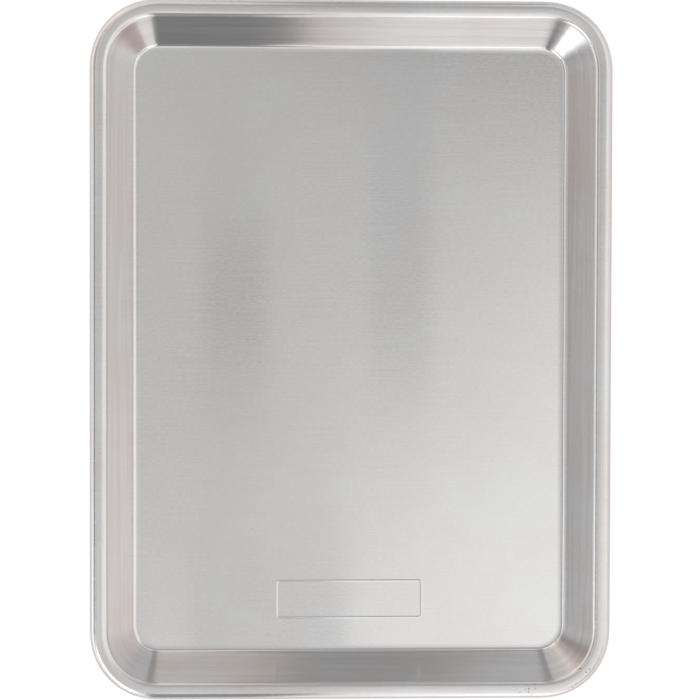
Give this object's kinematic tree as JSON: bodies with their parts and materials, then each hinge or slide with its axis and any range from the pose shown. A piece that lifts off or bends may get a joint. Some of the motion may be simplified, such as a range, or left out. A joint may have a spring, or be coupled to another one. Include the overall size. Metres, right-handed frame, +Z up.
{
  "type": "rimmed baking sheet",
  "caption": "Shallow rectangular aluminium baking tray with sloping walls, rounded corners and a rim rolled round a steel stiffening wire, for baking and roasting in an oven.",
  "frame": {"origin": "middle of the underside, on the plane that the tray stands on", "axes": "+Z up out of the tray's open side, +Y along its long sides towards the back, with the embossed frame at the front, -Y"},
  "size_m": [0.245, 0.328, 0.0264],
  "materials": {
    "pan_shell": "natural rolled aluminium, uncoated, satin with fine lines along the short sides",
    "rim_wire": "galvanised wire, dull grey"
  },
  "bodies": {
    "root": {"pan_shell": "pan_shell", "rim_wire": "rim_wire"}
  },
  "joints": []
}
